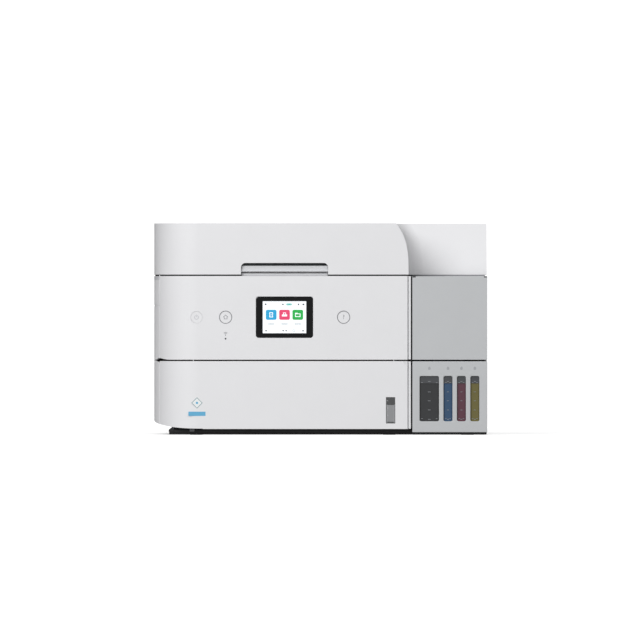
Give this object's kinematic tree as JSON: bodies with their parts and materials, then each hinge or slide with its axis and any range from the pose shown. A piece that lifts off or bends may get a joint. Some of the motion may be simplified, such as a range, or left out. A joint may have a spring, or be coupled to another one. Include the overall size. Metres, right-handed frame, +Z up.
{
  "type": "inkjet printer",
  "caption": "Compact office inkjet printer: flat-topped box with a round left corner, tilting touch panel, paper drawer, refillable ink tanks behind windows, flatbed scanner and feeder.",
  "frame": {"origin": "on the floor, under the middle of the body's width and depth", "axes": "+Z up, the front with the panel and the ink windows faces -Y, +X to the right of someone who faces the front"},
  "size_m": [0.375, 0.347, 0.238],
  "materials": {
    "shell": "fine moulded texture",
    "grey_shell": "fine moulded texture",
    "inner_light": "smooth moulded",
    "dark": "smooth moulded",
    "black": "smooth moulded",
    "rubber": "dull",
    "steel": "rolled sheet",
    "bright_steel": "polished",
    "glass": "polished",
    "bezel": "gloss",
    "screen": "lit display",
    "clear_dark": "smoked clear",
    "tank_black": "clear, over black ink",
    "tank_cyan": "clear, over cyan ink",
    "tank_magenta": "clear, over magenta ink",
    "tank_yellow": "clear, over yellow ink",
    "cap_black": "soft moulded",
    "cap_cyan": "soft moulded",
    "cap_magenta": "soft moulded",
    "cap_yellow": "soft moulded",
    "mat_white": "soft film on foam"
  },
  "bodies": {
    "chassis": {"base_pan": "black", "rubber_feet": "rubber", "left_shell": "shell", "right_shell": "grey_shell", "rear_shell": "shell", "cassette_bay": "dark", "engine_frame": "steel", "front_frame": "dark", "guide_shaft": "bright_steel", "platen": "black", "drive_belt": "rubber", "carriage_motor": "steel", "maintenance_station": "dark", "power_supply": "dark", "port_block": "dark", "tank_housing": "grey_shell", "ink_bay": "dark", "tank_black": "tank_black", "tank_cyan": "tank_cyan", "tank_magenta": "tank_magenta", "tank_yellow": "tank_yellow", "ink_tubes": "inner_light"},
    "cap_k": {"cap_black": "cap_black"},
    "cap_c": {"cap_cyan": "cap_cyan"},
    "cap_m": {"cap_magenta": "cap_magenta"},
    "cap_y": {"cap_yellow": "cap_yellow"},
    "ink_door": {"ink_cover": "grey_shell"},
    "scanner": {"scanner_tub": "shell", "scanner_top": "inner_light", "scanner_glass": "glass", "scan_rod": "bright_steel", "lid_posts": "dark"},
    "scan_head": {"scan_bar": "black"},
    "lid": {"lid_shell": "shell", "lid_base": "inner_light", "document_mat": "mat_white", "feeder_tub": "inner_light"},
    "feeder_wheel": {"feeder_roller": "rubber"},
    "feeder_door": {"feeder_cover": "shell"},
    "feeder_tray": {"input_tray": "shell"},
    "guide_front": {"edge_guide_front": "grey_shell"},
    "guide_rear": {"edge_guide_rear": "grey_shell"},
    "panel": {"control_panel": "shell", "display_bezel": "bezel", "display_screen": "screen"},
    "key_power": {"power_button": "shell"},
    "key_home": {"home_button": "shell"},
    "key_help": {"help_button": "shell"},
    "tray": {"output_tray": "inner_light"},
    "tray_end": {"tray_extension": "inner_light"},
    "cassette": {"cassette_front": "shell", "cassette_tub": "dark", "level_window": "clear_dark"},
    "fence_left": {"paper_guide_left": "black"},
    "fence_right": {"paper_guide_right": "black"},
    "fence_rear": {"paper_guide_rear": "black"},
    "head": {"carriage": "black"},
    "feed": {"feed_roller": "rubber"},
    "eject": {"eject_roller": "rubber"},
    "duplexer": {"rear_cover": "shell"}
  },
  "joints": [
    {"name": "scanner_lift", "type": "hinge", "parent": "chassis", "child": "scanner", "pos_m": [0, 0.1675, 0.154], "axis": [-1, 0, 0], "range_deg": [0, 35]},
    {"name": "scan_travel", "type": "slide", "parent": "scanner", "child": "scan_head", "axis": [1, 0, 0], "range_m": [0, 0.29]},
    {"name": "lid_open", "type": "hinge", "parent": "scanner", "child": "lid", "pos_m": [0, 0.1692, 0.1868], "axis": [-1, 0, 0], "range_deg": [0, 65]},
    {"name": "feeder_spin", "type": "hinge", "parent": "lid", "child": "feeder_wheel", "pos_m": [-0.1185, 0.055, 0.21838], "axis": [0, 1, 0], "continuous": true},
    {"name": "feeder_door_open", "type": "hinge", "parent": "lid", "child": "feeder_door", "pos_m": [-0.1782, 0.055, 0.2358], "axis": [0, -1, 0], "range_deg": [0, 75]},
    {"name": "feeder_tray_open", "type": "hinge", "parent": "lid", "child": "feeder_tray", "pos_m": [-0.0822, 0.055, 0.2358], "axis": [0, -1, 0], "range_deg": [0, 35]},
    {"name": "guide_front_slide", "type": "slide", "parent": "feeder_tray", "child": "guide_front", "axis": [0, 1, 0], "range_m": [0, 0.06]},
    {"name": "guide_rear_slide", "type": "slide", "parent": "feeder_tray", "child": "guide_rear", "axis": [0, -1, 0], "range_m": [0, 0.06]},
    {"name": "panel_tilt", "type": "hinge", "parent": "chassis", "child": "panel", "pos_m": [0, -0.1705, 0.1758], "axis": [-1, 0, 0], "range_deg": [0, 60]},
    {"name": "power_press", "type": "slide", "parent": "panel", "child": "key_power", "axis": [0, 1, 0], "range_m": [0, 0.0006], "stiffness_N_per_m": 600},
    {"name": "home_press", "type": "slide", "parent": "panel", "child": "key_home", "axis": [0, 1, 0], "range_m": [0, 0.0006], "stiffness_N_per_m": 600},
    {"name": "help_press", "type": "slide", "parent": "panel", "child": "key_help", "axis": [0, 1, 0], "range_m": [0, 0.0006], "stiffness_N_per_m": 600},
    {"name": "tray_slide", "type": "slide", "parent": "chassis", "child": "tray", "axis": [0, -1, 0], "range_m": [0, 0.1501]},
    {"name": "tray_end_slide", "type": "slide", "parent": "tray", "child": "tray_end", "axis": [0, -1, 0], "range_m": [0, 0.0801]},
    {"name": "cassette_slide", "type": "slide", "parent": "chassis", "child": "cassette", "axis": [0, -1, 0], "range_m": [0, 0.22]},
    {"name": "fence_left_slide", "type": "slide", "parent": "cassette", "child": "fence_left", "axis": [1, 0, 0], "range_m": [0, 0.055]},
    {"name": "fence_right_slide", "type": "slide", "parent": "cassette", "child": "fence_right", "axis": [-1, 0, 0], "range_m": [0, 0.055]},
    {"name": "fence_rear_slide", "type": "slide", "parent": "cassette", "child": "fence_rear", "axis": [0, -1, 0], "range_m": [0, 0.06]},
    {"name": "ink_door_open", "type": "hinge", "parent": "chassis", "child": "ink_door", "pos_m": [0.145, -0.103, 0.171], "axis": [-1, 0, 0], "range_deg": [0, 70]},
    {"name": "cap_k_open", "type": "hinge", "parent": "chassis", "child": "cap_k", "pos_m": [0.1221, -0.1155, 0.0938], "axis": [-1, 0, 0], "range_deg": [0, 100]},
    {"name": "cap_c_open", "type": "hinge", "parent": "chassis", "child": "cap_c", "pos_m": [0.1431, -0.1155, 0.0938], "axis": [-1, 0, 0], "range_deg": [0, 100]},
    {"name": "cap_m_open", "type": "hinge", "parent": "chassis", "child": "cap_m", "pos_m": [0.1582, -0.1155, 0.0938], "axis": [-1, 0, 0], "range_deg": [0, 100]},
    {"name": "cap_y_open", "type": "hinge", "parent": "chassis", "child": "cap_y", "pos_m": [0.1733, -0.1155, 0.0938], "axis": [-1, 0, 0], "range_deg": [0, 100]},
    {"name": "head_travel", "type": "slide", "parent": "chassis", "child": "head", "axis": [-1, 0, 0], "range_m": [0, 0.26]},
    {"name": "feed_spin", "type": "hinge", "parent": "chassis", "child": "feed", "pos_m": [0, 0.064, 0.0925], "axis": [1, 0, 0], "continuous": true},
    {"name": "eject_spin", "type": "hinge", "parent": "chassis", "child": "eject", "pos_m": [0, -0.04, 0.0947], "axis": [1, 0, 0], "continuous": true},
    {"name": "duplexer_pull", "type": "slide", "parent": "chassis", "child": "duplexer", "axis": [0, 1, 0], "range_m": [0, 0.06]}
  ],
  "couplings": [
    {"joint": "tray_slide", "follows": "panel_tilt", "m_per_rad": 0.14324},
    {"joint": "tray_end_slide", "follows": "panel_tilt", "m_per_rad": 0.076394},
    {"joint": "guide_rear_slide", "follows": "guide_front_slide", "ratio": 1},
    {"joint": "fence_right_slide", "follows": "fence_left_slide", "ratio": 1},
    {"joint": "eject_spin", "follows": "feed_spin", "ratio": 1}
  ]
}
